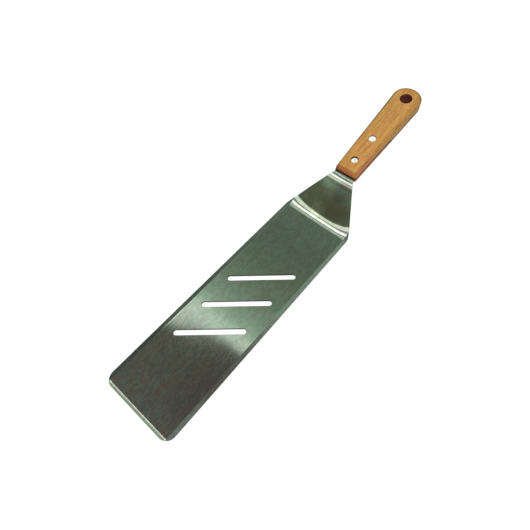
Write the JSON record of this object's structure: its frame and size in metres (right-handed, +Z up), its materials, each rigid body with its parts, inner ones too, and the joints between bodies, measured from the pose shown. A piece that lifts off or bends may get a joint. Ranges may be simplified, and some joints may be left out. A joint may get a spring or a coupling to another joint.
{
  "type": "grill spatula",
  "caption": "Long slotted grill spatula: cranked stainless blade with ground edges, tapering neck, half tang and a riveted hardwood handle with a hang hole.",
  "frame": {"origin": "middle of the overall length, on the centreline, on the plane of the blade's flat underside", "axes": "+X from the blade's front edge towards the handle end; +Z up, out of the blade's top face; the blade lies flat on z = 0"},
  "size_m": [0.3998, 0.0762, 0.0608],
  "materials": {
    "steel": "stainless sheet, fine brushing along the length",
    "hardwood": "golden brown hardwood, oiled, fine grain along the length",
    "rivet": "bright, smooth"
  },
  "bodies": {
    "root": {"blade": "steel", "handle": "hardwood", "front_rivet_male": "rivet", "front_rivet_female": "rivet", "rear_rivet_male": "rivet", "rear_rivet_female": "rivet"}
  },
  "joints": []
}
